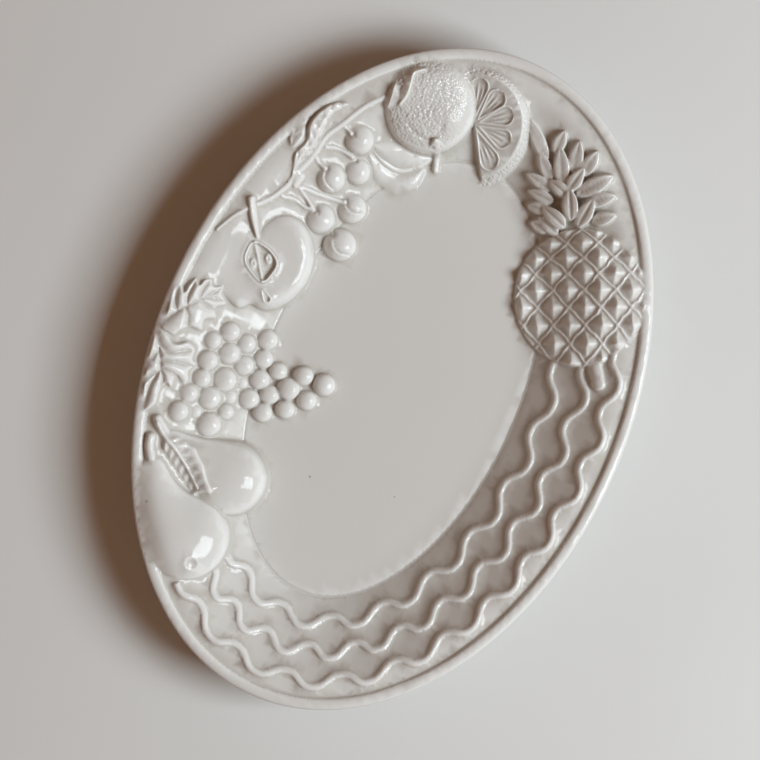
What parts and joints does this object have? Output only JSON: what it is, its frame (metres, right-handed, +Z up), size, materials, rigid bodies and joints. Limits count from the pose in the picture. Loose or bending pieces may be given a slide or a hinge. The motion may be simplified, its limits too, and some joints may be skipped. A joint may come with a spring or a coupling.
{
  "type": "faience dish",
  "caption": "Oval white-glazed serving dish with a moulded garland of fruit and wavy ribs on its wide flange, standing on a foot ring.",
  "frame": {"origin": "middle of the dish's footprint, on the surface that it stands on", "axes": "+Y along the long axis, towards the orange and the pineapple; +Z up out of the well; +X to the side with the pineapple and the wavy ribs"},
  "size_m": [0.307, 0.44, 0.0504],
  "materials": {
    "white_glaze": "glossy tin-white glaze over moulded earthenware, slightly warm, soft over the relief"
  },
  "bodies": {
    "root": {"dish": "white_glaze"}
  },
  "joints": []
}
